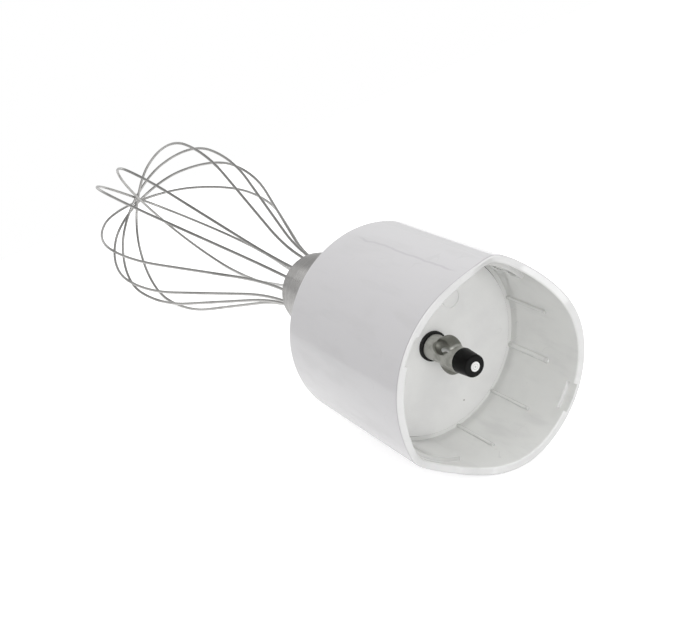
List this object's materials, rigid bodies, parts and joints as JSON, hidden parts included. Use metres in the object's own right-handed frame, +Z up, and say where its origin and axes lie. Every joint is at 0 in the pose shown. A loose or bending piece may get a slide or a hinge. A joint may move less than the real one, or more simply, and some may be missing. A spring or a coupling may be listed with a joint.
{
  "type": "immersion blender whisk attachment",
  "caption": "Balloon whisk of bent steel wire loops in a conical steel ferrule, driven through a reduction gearbox in a white cup-shaped collar with a wavy rim that clips to a stick blender.",
  "frame": {"origin": "centre of the part's bounding box over its length, on the surface it lies on, straight under the turning axis", "axes": "+Z up as the whisk lies at rest, +X along it towards the collar's open mouth; the turning axis lies in the XZ plane and rises 0.94 degrees towards +X, because the cup and two wires of the balloon carry it"},
  "size_m": [0.2476, 0.0632, 0.0616],
  "materials": {
    "collar_plastic": "moulded gloss white",
    "gear_plastic": "natural moulded",
    "carrier_plastic": "moulded, glass-filled",
    "bush_bronze": "sintered, oiled",
    "seal_rubber": "matt",
    "inner_steel": "ground",
    "coupling_metal": "cast, tumbled",
    "tip_plastic": "moulded black",
    "ferrule_steel": "brushed round",
    "plug_plastic": "moulded",
    "wire_steel": "drawn and polished"
  },
  "bodies": {
    "housing": {"collar_housing": "collar_plastic", "gearbox_lid": "collar_plastic", "input_bush": "bush_bronze", "shaft_seal": "seal_rubber", "ring_gear": "gear_plastic", "output_bush": "bush_bronze", "output_seal": "seal_rubber", "thrust_washer": "carrier_plastic"},
    "whisk": {"planet_carrier": "carrier_plastic", "carrier_cover": "inner_steel", "planet_pin_1": "inner_steel", "planet_pin_2": "inner_steel", "planet_pin_3": "inner_steel", "output_shaft": "inner_steel", "wire_plug": "plug_plastic", "whisk_ferrule": "ferrule_steel", "whisk_wire_1": "wire_steel", "whisk_wire_2": "wire_steel", "whisk_wire_3": "wire_steel", "whisk_wire_4": "wire_steel", "whisk_wire_5": "wire_steel", "whisk_wire_6": "wire_steel"},
    "drive": {"drive_shaft": "inner_steel", "sun_pinion": "gear_plastic", "drive_coupling": "coupling_metal", "coupling_tip": "tip_plastic"},
    "planet_1": {"planet_gear_1": "gear_plastic"},
    "planet_2": {"planet_gear_2": "gear_plastic"},
    "planet_3": {"planet_gear_3": "gear_plastic"}
  },
  "joints": [
    {"name": "whisk_spin", "type": "hinge", "parent": "housing", "child": "whisk", "pos_m": [0.06493, 0, 0.02999], "axis": [0.9999, 0, 0.0164], "continuous": true},
    {"name": "drive_spin", "type": "hinge", "parent": "housing", "child": "drive", "pos_m": [0.10492, 0, 0.03065], "axis": [0.9999, 0, 0.0164], "continuous": true},
    {"name": "planet_1_spin", "type": "hinge", "parent": "whisk", "child": "planet_1", "pos_m": [0.08171, 0.00384, 0.04321], "axis": [0.9999, 0, 0.0164], "continuous": true},
    {"name": "planet_2_spin", "type": "hinge", "parent": "whisk", "child": "planet_2", "pos_m": [0.08198, -0.01313, 0.02712], "axis": [0.9999, 0, 0.0164], "continuous": true},
    {"name": "planet_3_spin", "type": "hinge", "parent": "whisk", "child": "planet_3", "pos_m": [0.08209, 0.00929, 0.02048], "axis": [0.9999, 0, 0.0164], "continuous": true}
  ],
  "couplings": [
    {"joint": "drive_spin", "follows": "whisk_spin", "ratio": 4.5},
    {"joint": "planet_1_spin", "follows": "whisk_spin", "ratio": -2.8},
    {"joint": "planet_2_spin", "follows": "whisk_spin", "ratio": -2.8},
    {"joint": "planet_3_spin", "follows": "whisk_spin", "ratio": -2.8}
  ]
}
